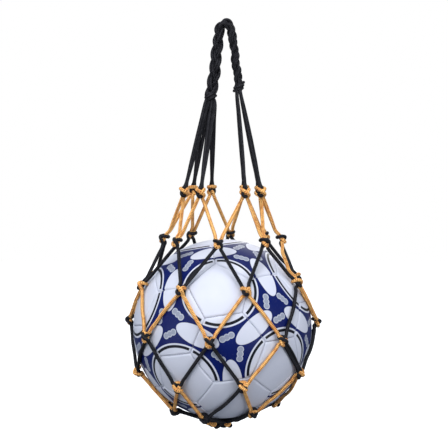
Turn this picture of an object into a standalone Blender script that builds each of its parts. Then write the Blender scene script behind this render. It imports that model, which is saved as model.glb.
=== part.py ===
"""A hand-knotted net carrier for one football, hanging by its plaited handle with the ball in it.

Frame: +Z up, +X to the right seen from the front, front towards -Y.
The origin is where the hook bears, at the inside of the handle loop's top.
"""

from itertools import combinations, permutations
from math import atan, atan2, cos, pi, radians, sin

import bmesh
import bpy
from mathutils import Vector

MM = 0.001

# Ball
BALL_RADIUS = 109 * MM
BALL_CENTRE = Vector((-3.7, 0, -363.4)) * MM
COVER_THICKNESS = 2.6 * MM
BLADDER_THICKNESS = 0.8 * MM
VALVE_STEM_RADIUS = 4.0 * MM
VALVE_FLANGE_RADIUS = 8.0 * MM
VALVE_LENGTH = 12.0 * MM
NEEDLE_HOLE_RADIUS = 0.9 * MM
NEEDLE_HOLE_DEPTH = 7.0 * MM
CLEARANCE = 0.3 * MM
FACET_SAG = 0.35 * MM

# Cover: 32 stitched panels, placed by the pentagon that faces the front
FRONT_PENTAGON = (-2, 32.9)
FRONT_PENTAGON_ROLL = -9.4
SEAM_GAP = 0.4 * MM
PANEL_CUTS = 3

# Net: cord on the ball, knots in rings of eight
CORD_RADIUS = 1.8 * MM
CORD_LIFT = 0.8 * MM
STRETCH_POINTS = 3
FREE_STRETCH_POINTS = 1
BIGHT_STEPS = 4
BIGHT_HALF_WIDTH = 3.6 * MM
BIGHT_DEPTH = 4.4 * MM
BIGHT_OVERLAP = 2.9 * MM
BIGHT_TILT = 2.6 * MM

# Where the hangers' bights hold the net's mouth, from the ball's centre
MOUTH_HEIGHT = 167.5 * MM
MOUTH_POINTS = [
    (-46, -16), (-26, -38), (27.3, -36), (46.8, -14),
    (45, 14), (27, 36), (-13.5, 40), (-36.7, 26),
]
# The first ring of knots hangs free, just off the ball
SHOULDER_HEIGHT = 109 * MM
SHOULDER_RADIUS = 71 * MM
SHOULDER_AZIMUTHS = [-95, -49, -4, 44, 88, 132, 172, 213]
# The other rings lie on the ball: azimuth and latitude of each knot
UPPER_RING = [
    (-74, 29), (-29, 29.8), (15.6, 29.7), (65.5, 31.6),
    (110, 31), (152, 31), (195, 31), (240, 31),
]
EQUATOR_RING = [
    (-98, 4), (-50.5, 0.3), (-7.3, 0.6), (37, -0.3),
    (91, 3.5), (134, 2), (174, 2), (216, 2),
]
LOWER_RING = [
    (-81, -26), (-31, -29.5), (13.2, -27.5), (59.5, -23.5),
    (110, -27), (152, -27), (192, -27), (236, -27),
]
FOOT_RING = [
    (-105, -56), (-66, -57), (-22, -60.5), (31, -53.5),
    (98, -55), (140, -56), (180, -57), (218, -56),
]
POLE_RING = [(azimuth, -82) for azimuth in (-80, -35, 10, 55, 100, 145, 190, 235)]

# The knot that gathers the cords under the ball
GATHER_RADIUS = 10.5 * MM
GATHER_HALF_HEIGHT = 6.6 * MM

# Handle: a three-bundle plait that runs over the hook and down both sides
HANDLE_ROUTE = [
    (-17.2, -73.2),
    (-14.9, -62.8),
    (-12.6, -48.9),
    (-11.6, -34.9),
    (-9.8, -21.0),
    (-8.0, -6.4),
    (-5.6, 3.9),
    (-0.6, 7.7),
    (4.4, 3.6),
    (7.5, -6.9),
    (10.0, -21.0),
    (11.8, -34.9),
    (13.6, -48.9),
    (15.2, -61.5),
]
BUNDLE_RADIUS = 2.05 * MM
PLAIT_PITCH = 49 * MM
PLAIT_WIDE = 5.1 * MM
PLAIT_DEEP = 3.0 * MM
PLAIT_POINTS = 42

# Bindings at the plait's ends
LEFT_TIE = Vector((-18.6, 0, -80.8)) * MM
RIGHT_TIE = Vector((15.8, 0, -69.5)) * MM
TIE_RADIUS = 6.2 * MM
FOLD_DROP = 21.35 * MM  # from the bindings' middle down to where the hangers fold

# Hangers: pairs of strands, side by side under each binding
STRAND_SPACING = 4.3 * MM
HANGER_POINTS = 6

BLACK_CORD = ("black_cord", (0.012, 0.012, 0.014), 0.75)
ORANGE_CORD = ("orange_cord", (0.80, 0.36, 0.075), 0.7)
COVER_WHITE = ("cover_white", (0.80, 0.81, 0.85), 0.35)
BLADDER_RUBBER = ("bladder_rubber", (0.05, 0.05, 0.05), 0.8)
VALVE_RUBBER = ("valve_rubber", (0.03, 0.03, 0.03), 0.6)


def clear_scene():
    for old in list(bpy.data.objects):
        bpy.data.objects.remove(old, do_unlink=True)


def new_collection(name):
    made = bpy.data.collections.new(name)
    bpy.context.scene.collection.children.link(made)
    return made


def material(look):
    name, colour, roughness = look
    if name in bpy.data.materials:
        return bpy.data.materials[name]
    made = bpy.data.materials.new(name)
    made.use_nodes = True
    shader = made.node_tree.nodes["Principled BSDF"]
    shader.inputs["Base Color"].default_value = (*colour, 1)
    shader.inputs["Roughness"].default_value = roughness
    shader.inputs["Metallic"].default_value = 0
    return made


def tube(name, points, radius, look, closed=False, parent=None):
    """A cord through the points, with its ends capped or joined to each other."""
    curve = bpy.data.curves.new(name, "CURVE")
    curve.dimensions = "3D"
    curve.bevel_depth = radius
    curve.bevel_resolution = 2
    curve.use_fill_caps = not closed
    spline = curve.splines.new("POLY")
    spline.points.add(len(points) - 1)
    for point, place in zip(spline.points, points):
        point.co = (*place, 1)
    spline.use_cyclic_u = closed
    curve.materials.append(material(look))
    return add(bpy.data.objects.new(name, curve), parent)


def move_to(piece, collection):
    for holder in list(piece.users_collection):
        holder.objects.unlink(piece)
    collection.objects.link(piece)


def add(piece, parent=None):
    move_to(piece, PARTS)
    if parent:
        piece.parent = parent
        piece.matrix_parent_inverse = parent.matrix_world.inverted()
    return piece


def pivot(name, place):
    """An empty on a joint's axis, which carries the pieces of one body."""
    empty = bpy.data.objects.new(name, None)
    empty.empty_display_size = 0.02
    empty.location = place
    PARTS.objects.link(empty)
    bpy.context.view_layer.update()
    return empty


def smooth_route(points, count):
    """Evenly spaced places along a Catmull-Rom curve through the points."""
    ends = [points[0] * 2 - points[1], *points, points[-1] * 2 - points[-2]]
    fine = []
    for a, b, c, d in zip(ends, ends[1:], ends[2:], ends[3:]):
        for step in range(16):
            t = step / 16
            bend = (a * 2 - b * 5 + c * 4 - d) * t**2
            settle = (b * 3 - a - c * 3 + d) * t**3
            fine.append((b * 2 + (c - a) * t + bend + settle) / 2)
    fine.append(points[-1])
    travelled = [0.0]
    for a, b in zip(fine, fine[1:]):
        travelled.append(travelled[-1] + (b - a).length)
    route, place = [], 0
    for n in range(count):
        want = travelled[-1] * n / (count - 1)
        while place < len(fine) - 2 and travelled[place + 1] < want:
            place += 1
        share = (want - travelled[place]) / (travelled[place + 1] - travelled[place])
        route.append(fine[place].lerp(fine[place + 1], share))
    return route, travelled[-1]


# ---------------------------------------------------------------- handle


def plait_bundles(parent):
    """Three bundles that weave a flat plait. Its broad side faces the front on the left leg and turns
    sideways over the top, as the loop does on a hook."""
    route, length = smooth_route([Vector((x, 0, z)) * MM for x, z in HANDLE_ROUTE], PLAIT_POINTS)
    for bundle in range(3):
        points = []
        for n, centre in enumerate(route):
            share = n / (PLAIT_POINTS - 1)
            along = (route[min(n + 1, PLAIT_POINTS - 1)] - route[max(n - 1, 0)]).normalized()
            depth = Vector((0, -1, 0))
            side = along.cross(depth)
            turned = min(max((share - 0.35) / 0.3, 0), 1)
            twist = pi / 2 * turned * turned * (3 - 2 * turned)
            wide = side * cos(twist) + depth * sin(twist)
            deep = depth * cos(twist) - side * sin(twist)
            phase = 2 * pi * (share * length / PLAIT_PITCH + bundle / 3)
            points.append(centre + wide * PLAIT_WIDE * sin(phase) + deep * PLAIT_DEEP * sin(2 * phase))
        tube(f"plait_bundle_{bundle + 1}", points, BUNDLE_RADIUS, BLACK_CORD, parent=parent)


def tie(name, place, parent):
    """The binding that holds a plait's end, a barrel across the fold's axis."""
    bpy.ops.mesh.primitive_uv_sphere_add(segments=16, ring_count=8, radius=TIE_RADIUS, location=place)
    made = bpy.context.object
    made.name = made.data.name = name
    made.rotation_euler = (0, pi / 2, 0)
    made.data.materials.append(material(BLACK_CORD))
    made.data.shade_smooth()
    return add(made, parent)


# ---------------------------------------------------------------- net


def direction(azimuth, latitude=0.0):
    """A unit vector from the ball's centre. Azimuth 0 faces the front and grows to the right."""
    a, t = radians(azimuth), radians(latitude)
    return Vector((cos(t) * sin(a), -cos(t) * cos(a), sin(t)))


def mouth_knots():
    """(place, along the row, out of the net) for each hanger's bight."""
    knots = []
    for x, y in MOUTH_POINTS:
        front = -1 if y < 0 else 1
        place = BALL_CENTRE + Vector((x * MM, y * MM, MOUTH_HEIGHT))
        knots.append((place, Vector((-front, 0, 0)), Vector((0, front, 0))))
    return knots


def shoulder_knots():
    knots = []
    for azimuth in SHOULDER_AZIMUTHS:
        level = direction(azimuth)
        place = BALL_CENTRE + level * SHOULDER_RADIUS + Vector((0, 0, SHOULDER_HEIGHT))
        knots.append((place, direction(azimuth + 90), (level * 2 + Vector((0, 0, 1))).normalized()))
    return knots


def ring_knots(ring):
    reach = BALL_RADIUS + CORD_RADIUS + CORD_LIFT
    knots = []
    for azimuth, latitude in ring:
        out = direction(azimuth, latitude)
        knots.append((BALL_CENTRE + out * reach, direction(azimuth + 90), out))
    return knots


def bight(knot, hangs):
    """The turn of a cord at a knot, hooked through the row above or below. One side of each turn lies on
    the ball and the other passes over the turn that it holds."""
    place, along, out = knot
    up = out.cross(along)
    points = []
    for n in range(BIGHT_STEPS + 1):
        turn = pi * n / BIGHT_STEPS
        across = -BIGHT_HALF_WIDTH * cos(turn)
        below = BIGHT_DEPTH * sin(turn) - (BIGHT_DEPTH - BIGHT_OVERLAP)
        lift = BIGHT_TILT * (1 - cos(turn) if hangs else 1 + cos(turn))
        points.append(place + along * across + up * (-below if hangs else below) + out * lift)
    return points


def stretch(start, end, count):
    """The cord between two knots: straight, or lying on the ball where the ball is in the way."""
    reach = BALL_RADIUS + CORD_RADIUS + CORD_LIFT
    points = []
    for n in range(1, count + 1):
        place = start.lerp(end, n / (count + 1)) - BALL_CENTRE
        points.append(BALL_CENTRE + place * max(1, reach / place.length))
    return points


def net_row(number, above, below, above_first, look, parent):
    """One closed zigzag of cord, from each knot above down to the next knot below."""
    turns = []
    for high, low in zip(above, below):
        pair = [bight(high, hangs=False), bight(low, hangs=True)]
        turns += pair if above_first else pair[::-1]
    count = FREE_STRETCH_POINTS if number == 1 else STRETCH_POINTS
    points = []
    for turn, following in zip(turns, turns[1:] + turns[:1]):
        points += turn + stretch(turn[-1], following[0], count)
    return tube(f"net_row_{number}", points, CORD_RADIUS, look, closed=True, parent=parent)


def gather_knot(parent):
    """The knot that ties the last row's turns together under the ball."""
    drop = BALL_RADIUS + CORD_LIFT + GATHER_HALF_HEIGHT
    bpy.ops.mesh.primitive_uv_sphere_add(
        segments=20, ring_count=10, radius=1, location=BALL_CENTRE - Vector((0, 0, drop))
    )
    made = bpy.context.object
    made.name = made.data.name = "gather_knot"
    made.scale = (GATHER_RADIUS, GATHER_RADIUS, GATHER_HALF_HEIGHT)
    bpy.ops.object.transform_apply(location=False, rotation=False, scale=True)
    made.data.materials.append(material(BLACK_CORD))
    made.data.shade_smooth()
    return add(made, parent)


# ---------------------------------------------------------------- hangers


def hanger(name, knot, tops, parent):
    """One loop: down from the binding, round the net's mouth cord, and up again."""
    turn = bight(knot, hangs=True)
    first, last = tops
    down = [first.lerp(turn[0], n / HANGER_POINTS) for n in range(HANGER_POINTS)]
    up = [turn[-1].lerp(last, n / HANGER_POINTS) for n in range(1, HANGER_POINTS + 1)]
    return tube(name, down + turn + up, CORD_RADIUS, BLACK_CORD, parent=parent)


def hangers(knots, parent):
    """Four loops a side. Under the left binding the strands stand four abreast and two deep, under the
    right one two abreast and four deep."""
    below = Vector((0, 0, -(TIE_RADIUS + 0.9 * MM)))
    left = [(0, -1.5, -1), (1, 0.5, -1), (7, -1.5, 1), (6, 0.5, 1)]
    right = [(2, -1, -1.5), (3, 1, -1.5), (5, -1, 1.5), (4, 1, 1.5)]
    for n, (index, across, row) in enumerate(left):
        near = LEFT_TIE + below + Vector((across, row / 2, 0)) * STRAND_SPACING
        tops = [near, near + Vector((STRAND_SPACING, 0, 0))]
        if row > 0:
            tops.reverse()
        hanger(f"hanger_left_{n + 1}", knots[index], tops, parent)
    for n, (index, column, row) in enumerate(right):
        middle = RIGHT_TIE + below + Vector((column / 2, row - 0.5 * row / abs(row), 0)) * STRAND_SPACING
        half = Vector((0, STRAND_SPACING / 2, 0))
        tops = [middle - half, middle + half]
        if knots[index][1].x * column < 0:
            tops.reverse()
        hanger(f"hanger_right_{n + 1}", knots[index], tops, parent)


# ---------------------------------------------------------------- ball


def pentagon_middles():
    """The middles of the twelve pentagons, from top to bottom. Each has five neighbours, atan(2) away."""
    front = direction(*FRONT_PENTAGON)
    right = Vector((0, 0, 1)).cross(front).normalized()
    up = front.cross(right)
    middles = [front, -front]
    for n in range(5):
        roll = radians(FRONT_PENTAGON_ROLL + 72 * n)
        neighbour = front * cos(atan(2)) + (up * cos(roll) + right * sin(roll)) * sin(atan(2))
        middles += [neighbour, -neighbour]
    return sorted(middles, key=lambda middle: -middle.z)


def in_order(corners):
    """(middle, corners) of a panel, with its corners in order about the middle."""
    middle = sum(corners, Vector()).normalized()
    across = (corners[0] - middle * corners[0].dot(middle)).normalized()
    up = middle.cross(across)
    return middle, sorted(corners, key=lambda corner: atan2(corner.dot(up), corner.dot(across)))


def panel_outlines():
    """Every panel's (name, (middle, corners)) on a ball of radius 1. A corner stands a third of the way
    from one pentagon's middle to a neighbour's."""
    middles = pentagon_middles()
    outlines = []
    for n, one in enumerate(middles):
        near = [other for other in middles if 0.1 < (other - one).length < 1.2]
        outlines.append((f"panel_pentagon_{n + 1}", in_order([one.lerp(other, 1 / 3) for other in near])))
    between = [
        three
        for three in combinations(middles, 3)
        if all((a - b).length < 1.2 for a, b in combinations(three, 2))
    ]
    for n, three in enumerate(sorted(between, key=lambda three: -sum(three, Vector()).z)):
        corners = [a.lerp(b, 1 / 3) for a, b in permutations(three, 2)]
        outlines.append((f"panel_hexagon_{n + 1}", in_order(corners)))
    return outlines


def panel(name, middle, corners):
    """One panel of the cover: a curved piece with a straight wall towards each neighbour."""
    reach = ((corners[0] + corners[1]) / 2).length * sin(middle.angle(corners[0] + corners[1]))
    shape = bmesh.new()
    tips = [shape.verts.new(corner.lerp(middle, SEAM_GAP / 2 / (reach * BALL_RADIUS))) for corner in corners]
    bmesh.ops.poke(shape, faces=[shape.faces.new(tips)])
    bmesh.ops.subdivide_edges(shape, edges=shape.edges, cuts=PANEL_CUTS, use_grid_fill=True)
    for vertex in shape.verts:
        vertex.co = vertex.co.normalized() * (BALL_RADIUS - COVER_THICKNESS)
    grown = bmesh.ops.extrude_face_region(shape, geom=shape.faces[:], use_keep_orig=True)
    for part in grown["geom"]:
        if isinstance(part, bmesh.types.BMVert):
            part.co = part.co.normalized() * BALL_RADIUS
    bmesh.ops.recalc_face_normals(shape, faces=shape.faces)
    mesh = bpy.data.meshes.new(name)
    shape.to_mesh(mesh)
    shape.free()
    mesh.materials.append(material(COVER_WHITE))
    mesh.shade_smooth()
    mesh.set_sharp_from_angle(angle=radians(40))
    made = bpy.data.objects.new(name, mesh)
    made.location = BALL_CENTRE
    return add(made)


def bladder():
    """The rubber ball inside the cover."""
    radius = BALL_RADIUS - COVER_THICKNESS - FACET_SAG - CLEARANCE
    bpy.ops.mesh.primitive_ico_sphere_add(subdivisions=3, radius=radius, location=BALL_CENTRE)
    made = bpy.context.object
    made.name = made.data.name = "ball_bladder"
    made.data.materials.append(material(BLADDER_RUBBER))
    made.data.shade_smooth()
    wall = made.modifiers.new("wall", "SOLIDIFY")
    wall.thickness = BLADDER_THICKNESS
    wall.offset = -1
    return add(made)


def valve_cutter(name, axis, radius):
    """A rod through one wall of the ball, which cuts the valve's hole."""
    bpy.ops.mesh.primitive_cylinder_add(
        vertices=24,
        radius=radius,
        depth=30 * MM,
        location=BALL_CENTRE + axis * BALL_RADIUS,
        rotation=axis.to_track_quat("Z", "Y").to_euler(),
    )
    cutter = bpy.context.object
    cutter.name = name
    move_to(cutter, CUTTERS)
    cutter.hide_render = True
    cutter.display_type = "WIRE"
    return cutter


def cut(piece, cutter):
    hole = piece.modifiers.new("hole", "BOOLEAN")
    hole.operation = "DIFFERENCE"
    hole.object = cutter


def valve(axis):
    """A turned rubber plug: a stem through cover and bladder, a flange inside, and the needle's hole."""
    top = BALL_RADIUS - 0.6 * MM
    flange = BALL_RADIUS - COVER_THICKNESS - BLADDER_THICKNESS - 4 * CLEARANCE - FACET_SAG * 4
    profile = [
        (0, top - NEEDLE_HOLE_DEPTH),
        (NEEDLE_HOLE_RADIUS, top - NEEDLE_HOLE_DEPTH),
        (NEEDLE_HOLE_RADIUS, top),
        (VALVE_STEM_RADIUS, top),
        (VALVE_STEM_RADIUS, flange),
        (VALVE_FLANGE_RADIUS, flange),
        (VALVE_FLANGE_RADIUS, flange - 1.5 * MM),
        (VALVE_STEM_RADIUS, flange - 1.5 * MM),
        (VALVE_STEM_RADIUS, top - VALVE_LENGTH),
        (0, top - VALVE_LENGTH),
    ]
    mesh = bpy.data.meshes.new("ball_valve")
    shape = bmesh.new()
    chain = [shape.verts.new((r, 0, z)) for r, z in profile]
    for a, b in zip(chain, chain[1:]):
        shape.edges.new((a, b))
    shape.to_mesh(mesh)
    shape.free()
    made = bpy.data.objects.new("ball_valve", mesh)
    made.location = BALL_CENTRE
    made.rotation_euler = axis.to_track_quat("Z", "Y").to_euler()
    turned = made.modifiers.new("turned", "SCREW")
    turned.steps = turned.render_steps = 16
    turned.use_merge_vertices = True
    turned.merge_threshold = 0.00001
    turned.use_smooth_shade = False
    mesh.materials.append(material(VALVE_RUBBER))
    return add(made)


def ball(parent):
    """The ball, with its valve in the middle of the pentagon at the back."""
    axis = -direction(*FRONT_PENTAGON)
    cutter = valve_cutter("valve_hole_cutter", axis, VALVE_STEM_RADIUS + CLEARANCE)
    pieces = [bladder(), valve(axis)]
    cut(pieces[0], cutter)
    for name, (middle, corners) in panel_outlines():
        pieces.append(panel(name, middle, corners))
        if middle.dot(axis) > 0.99:
            cut(pieces[-1], cutter)
    for piece in pieces:
        piece.parent = parent
        piece.matrix_parent_inverse = parent.matrix_world.inverted()


# ---------------------------------------------------------------- assembly

clear_scene()
PARTS = new_collection("mesh_ball_bag")
CUTTERS = new_collection("cutters")

fold = pivot("handle_fold_axis", (LEFT_TIE + RIGHT_TIE) / 2 - Vector((0, 0, FOLD_DROP)))
mouth = pivot("mouth_fold_axis", BALL_CENTRE + Vector((0, 0, (MOUTH_HEIGHT + SHOULDER_HEIGHT) / 2)))
centre = pivot("ball_turn_axis", BALL_CENTRE)

plait_bundles(None)
tie("left_tie", LEFT_TIE, None)
tie("right_tie", RIGHT_TIE, None)

mouth_row = mouth_knots()
rows = [mouth_row, shoulder_knots()] + [
    ring_knots(ring) for ring in (UPPER_RING, EQUATOR_RING, LOWER_RING, FOOT_RING, POLE_RING)
]
hangers(mouth_row, fold)
for n in range(6):
    following = rows[n + 1]
    first = n % 2 == 1
    net_row(n + 1, rows[n], following, first, BLACK_CORD if first else ORANGE_CORD, mouth)
gather_knot(mouth)
ball(centre)
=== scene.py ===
"""The looks of a hand-knotted net carrier with a football in it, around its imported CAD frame."""

from itertools import combinations
from math import atan, atan2, cos, pi, radians, sin

import bpy
import numpy as np
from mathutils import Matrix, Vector

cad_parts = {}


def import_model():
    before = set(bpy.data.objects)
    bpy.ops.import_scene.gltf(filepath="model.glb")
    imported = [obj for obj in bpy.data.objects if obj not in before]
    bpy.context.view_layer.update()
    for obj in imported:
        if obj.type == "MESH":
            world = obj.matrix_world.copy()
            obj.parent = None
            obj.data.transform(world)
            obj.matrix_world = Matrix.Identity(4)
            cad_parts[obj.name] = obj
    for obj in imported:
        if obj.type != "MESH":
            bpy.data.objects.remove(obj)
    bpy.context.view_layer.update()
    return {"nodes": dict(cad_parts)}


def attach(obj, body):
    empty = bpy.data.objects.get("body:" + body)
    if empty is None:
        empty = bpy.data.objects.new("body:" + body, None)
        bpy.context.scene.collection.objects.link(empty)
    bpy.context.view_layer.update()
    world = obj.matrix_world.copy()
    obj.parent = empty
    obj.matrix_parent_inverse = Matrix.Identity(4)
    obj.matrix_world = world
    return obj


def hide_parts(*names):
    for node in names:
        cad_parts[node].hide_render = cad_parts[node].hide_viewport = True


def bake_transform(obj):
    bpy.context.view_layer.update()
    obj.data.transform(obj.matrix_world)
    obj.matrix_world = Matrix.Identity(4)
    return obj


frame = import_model()

MM = 0.001

# ---------------------------------------------------------------- the frame's own sizes, as the CAD has them

BALL_CENTRE = np.array([-3.7, 0, -363.4]) * MM
BALL_RADIUS = 109 * MM
MOUTH_HEIGHT = 167.5 * MM
MOUTH_POINTS = [
    (-46, -16), (-26, -38), (27.3, -36), (46.8, -14), (45, 14), (27, 36), (-13.5, 40), (-36.7, 26),
]
SHOULDER_HEIGHT = 109 * MM
SHOULDER_RADIUS = 71 * MM
SHOULDER_AZIMUTHS = [-95, -49, -4, 44, 88, 132, 172, 213]
RINGS = [
    [(-74, 29), (-29, 29.8), (15.6, 29.7), (65.5, 31.6), (110, 31), (152, 31), (195, 31), (240, 31)],
    [(-98, 4), (-50.5, 0.3), (-7.3, 0.6), (37, -0.3), (91, 3.5), (134, 2), (174, 2), (216, 2)],
    [(-81, -26), (-31, -29.5), (13.2, -27.5), (59.5, -23.5), (110, -27), (152, -27), (192, -27), (236, -27)],
    [(-105, -56), (-66, -57), (-22, -60.5), (31, -53.5), (98, -55), (140, -56), (180, -57), (218, -56)],
    [(azimuth, -82) for azimuth in (-80, -35, 10, 55, 100, 145, 190, 235)],
]
HANDLE_ROUTE = [
    (-18.9, -81.5), (-17.2, -73.2), (-14.9, -62.8), (-12.6, -48.9), (-11.6, -34.9), (-9.8, -21.0),
    (-8.0, -6.4), (-5.6, 3.9), (-0.6, 7.7), (4.4, 3.6), (7.5, -6.9),
    (10.0, -21.0), (11.8, -34.9), (13.6, -48.9), (15.2, -61.5), (16.3, -70.0),
]
LEFT_TIE = np.array([-18.6, 0, -80.8]) * MM
RIGHT_TIE = np.array([15.8, 0, -69.5]) * MM
FRONT_PENTAGON = (-2, 32.9)
FRONT_PENTAGON_ROLL = -9.4
AROUND = 8  # knots in each ring, and loops on the handle
NET_ROWS = 6

UP = np.array([0.0, 0.0, 1.0])


def unit(v):
    v = np.asarray(v, float)
    return v / np.linalg.norm(v, axis=-1, keepdims=True)


def direction(azimuth, latitude=0.0):
    a, t = radians(azimuth), radians(latitude)
    return np.array([cos(t) * sin(a), -cos(t) * cos(a), sin(t)])


# ---------------------------------------------------------------- materials


class Nodes:
    """A short way to write a material's node tree."""

    def __init__(self, name):
        self.material = bpy.data.materials.new(name)
        self.material.use_nodes = True
        self.tree = self.material.node_tree
        self.shader = self.tree.nodes["Principled BSDF"]

    def put(self, socket, value):
        if isinstance(value, bpy.types.NodeSocket):
            self.tree.links.new(value, socket)
        elif isinstance(value, tuple) and len(value) == 3 and socket.type == "RGBA":
            socket.default_value = (*value, 1)
        else:
            socket.default_value = value

    def node(self, kind, settings=None, **inputs):
        made = self.tree.nodes.new(kind)
        for key, value in (settings or {}).items():
            setattr(made, key, value)
        for key, value in inputs.items():
            numbered = key[0] == "i" and key[1:].isdigit()
            self.put(made.inputs[int(key[1:]) if numbered else key], value)
        return made

    def math(self, operation, a, b=0.0, clamp=False):
        made = self.node("ShaderNodeMath", {"operation": operation, "use_clamp": clamp}, i0=a, i1=b)
        return made.outputs[0]

    def vector(self, operation, a, b=(0, 0, 0)):
        made = self.node("ShaderNodeVectorMath", {"operation": operation}, i0=a, i1=b)
        return made.outputs["Value" if operation == "DOT_PRODUCT" else "Vector"]

    def mix(self, share, a, b):
        made = self.tree.nodes.new("ShaderNodeMix")
        made.data_type = "RGBA"
        self.put(made.inputs["Factor"], share)
        self.put(made.inputs[6], a)
        self.put(made.inputs[7], b)
        return made.outputs[2]

    def step(self, value, low, high):
        """0 below low, 1 above high, smooth between."""
        smooth = {"interpolation_type": "SMOOTHSTEP"}
        return self.node("ShaderNodeMapRange", smooth, i0=value, i1=low, i2=high).outputs[0]

    def below(self, value, low, high):
        """1 below low, 0 above high, smooth between."""
        return self.math("SUBTRACT", 1.0, self.step(value, low, high))

    def square(self, value):
        return self.math("MULTIPLY", value, value)

    def noise(self, scale, detail, where, roughness=0.5):
        sizes = {"Scale": scale, "Detail": detail, "Roughness": roughness}
        return self.node("ShaderNodeTexNoise", None, Vector=where, **sizes).outputs["Fac"]

    def attribute(self, name):
        return self.node("ShaderNodeAttribute", {"attribute_name": name}).outputs["Vector"]

    def object_place(self):
        return self.node("ShaderNodeTexCoord").outputs["Object"]

    def bump(self, height, strength, distance):
        made = self.node("ShaderNodeBump", None, Strength=strength, Distance=distance, Height=height)
        self.put(self.shader.inputs["Normal"], made.outputs["Normal"])

    def set(self, **inputs):
        for key, value in inputs.items():
            self.put(self.shader.inputs[key.replace("_", " ")], value)
        return self.material


YARNS = 8  # yarns each way round a braided cord
PICK = 1.9 * MM  # how far along the cord a yarn takes to pass one crossing
FLECK_WIDE = 0.42  # a fleck's half width, in yarns
FLECK_LONG = 0.27  # and its half length, in crossings


def cord_material(name, dark, light, flecks, speck, twin, sheen, shine):
    """Round braided cord. Two families of yarns cross, and each crossing shows one yarn's arched back.
    Flecks of the colour speck lie in rows between the yarns. One family is paler by the share twin."""
    n = Nodes(name)
    place = n.node("ShaderNodeSeparateXYZ", None, i0=n.attribute("cord_place"))
    along, round_ = place.outputs[0], place.outputs[1]
    left = n.math("ADD", round_, along)
    right = n.math("SUBTRACT", round_, along)
    arches = []
    for value in (left, right):
        fraction = n.math("FRACT", value)
        arches.append(n.math("SINE", n.math("MULTIPLY", fraction, pi)))
    over = n.math("FLOORED_MODULO", n.math("ADD", n.math("FLOOR", left), n.math("FLOOR", right)), 2.0)
    arch = n.math("ADD", n.math("MULTIPLY", arches[0], over),
                  n.math("MULTIPLY", arches[1], n.math("SUBTRACT", 1.0, over)))
    column = n.math("DIVIDE", n.math("PINGPONG", round_, 1.0), FLECK_WIDE)
    row = n.math("DIVIDE", n.math("PINGPONG", along, 0.5), FLECK_LONG)
    spread = n.math("ADD", n.square(column), n.square(row))
    fibres = n.noise(2600.0, 2.0, n.object_place())
    blotch = n.noise(170.0, 2.0, n.object_place())
    # Painted shade: the colour runs from dark in the grooves between the yarns to light on their arched
    # backs.
    tone = n.math("ADD", n.math("MULTIPLY", arch, 0.6), n.math("MULTIPLY", fibres, 0.3))
    tone = n.math("ADD", tone, n.math("MULTIPLY", over, twin), clamp=True)
    colour = n.mix(tone, dark, light)
    colour = n.mix(n.math("MULTIPLY", n.step(blotch, 0.42, 0.7), 0.45), colour, dark)
    colour = n.mix(n.math("MULTIPLY", n.below(spread, 0.5, 1.4), flecks), colour, speck)
    height = n.math("ADD", arch, n.math("MULTIPLY", fibres, 0.35))
    n.bump(height, 0.9, 0.3 * MM)
    rough = n.math("ADD", n.math("MULTIPLY", fibres, 0.2), 0.55)
    return n.set(Base_Color=colour, Roughness=rough, Sheen_Weight=sheen, Sheen_Roughness=0.4,
                 Specular_IOR_Level=shine)


# dark is the painted shade in the grooves between the yarns, and light the yarns' backs; the random blotches
# also darken towards dark.
BLACK = cord_material("black_cord_braid", dark=(0.0001, 0.0001, 0.0002), light=(0.020, 0.020, 0.025),
                      flecks=0.45, speck=(0.060, 0.060, 0.068), twin=0.4, sheen=0.0, shine=0.10)
ORANGE = cord_material("orange_cord_braid", dark=(0.44, 0.07, 0.002), light=(0.97, 0.58, 0.20),
                       flecks=0.9, speck=(0.16, 0.024, 0.002), twin=0.7, sheen=0.02, shine=0.12)
LOOKS = {"black": BLACK, "orange": ORANGE}

# ---------------------------------------------------------------- cords

FINE = 14  # places worked out between two control points, before they are spaced evenly
RELIEF = 0.05  # how far a yarn's back stands out, as a share of the cord's radius
BLUNT = 0.02  # how small a rounded end gets, as a share of the cord's section


def spline(points, step, closed=False):
    """Even places along a centripetal Catmull-Rom curve through the points, and each one's control index."""
    p = np.asarray(points, float)
    if closed:
        p = np.vstack([p[-1], p, p[0], p[1]])
    else:
        p = np.vstack([2 * p[0] - p[1], p, 2 * p[-1] - p[-2]])
    fine, marks = [], []
    for i in range(1, len(p) - 2):
        a, b, c, d = p[i - 1:i + 3]
        t0 = 0.0
        t1 = max(np.linalg.norm(b - a), 1e-7) ** 0.5
        t2 = t1 + max(np.linalg.norm(c - b), 1e-7) ** 0.5
        t3 = t2 + max(np.linalg.norm(d - c), 1e-7) ** 0.5
        t = np.linspace(t1, t2, FINE, endpoint=False)[:, None]
        a1 = (t1 - t) / (t1 - t0) * a + (t - t0) / (t1 - t0) * b
        a2 = (t2 - t) / (t2 - t1) * b + (t - t1) / (t2 - t1) * c
        a3 = (t3 - t) / (t3 - t2) * c + (t - t2) / (t3 - t2) * d
        b1 = (t2 - t) / (t2 - t0) * a1 + (t - t0) / (t2 - t0) * a2
        b2 = (t3 - t) / (t3 - t1) * a2 + (t - t1) / (t3 - t1) * a3
        fine.append((t2 - t) / (t2 - t1) * b1 + (t - t1) / (t2 - t1) * b2)
        marks.append(i - 1 + np.arange(FINE) / FINE)
    fine, marks = np.vstack(fine), np.concatenate(marks)
    end = fine[0] if closed else p[-2]
    fine = np.vstack([fine, end])
    marks = np.append(marks, marks[-1] + 1 / FINE)
    travelled = np.concatenate([[0], np.cumsum(np.linalg.norm(np.diff(fine, axis=0), axis=1))])
    count = max(int(round(travelled[-1] / step)), 4)
    want = np.linspace(0, travelled[-1], count + 1)
    if closed:
        want = want[:-1]
    route = np.stack([np.interp(want, travelled, fine[:, k]) for k in range(3)], axis=1)
    return route, want, np.interp(want, travelled, marks), travelled[-1]


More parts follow.
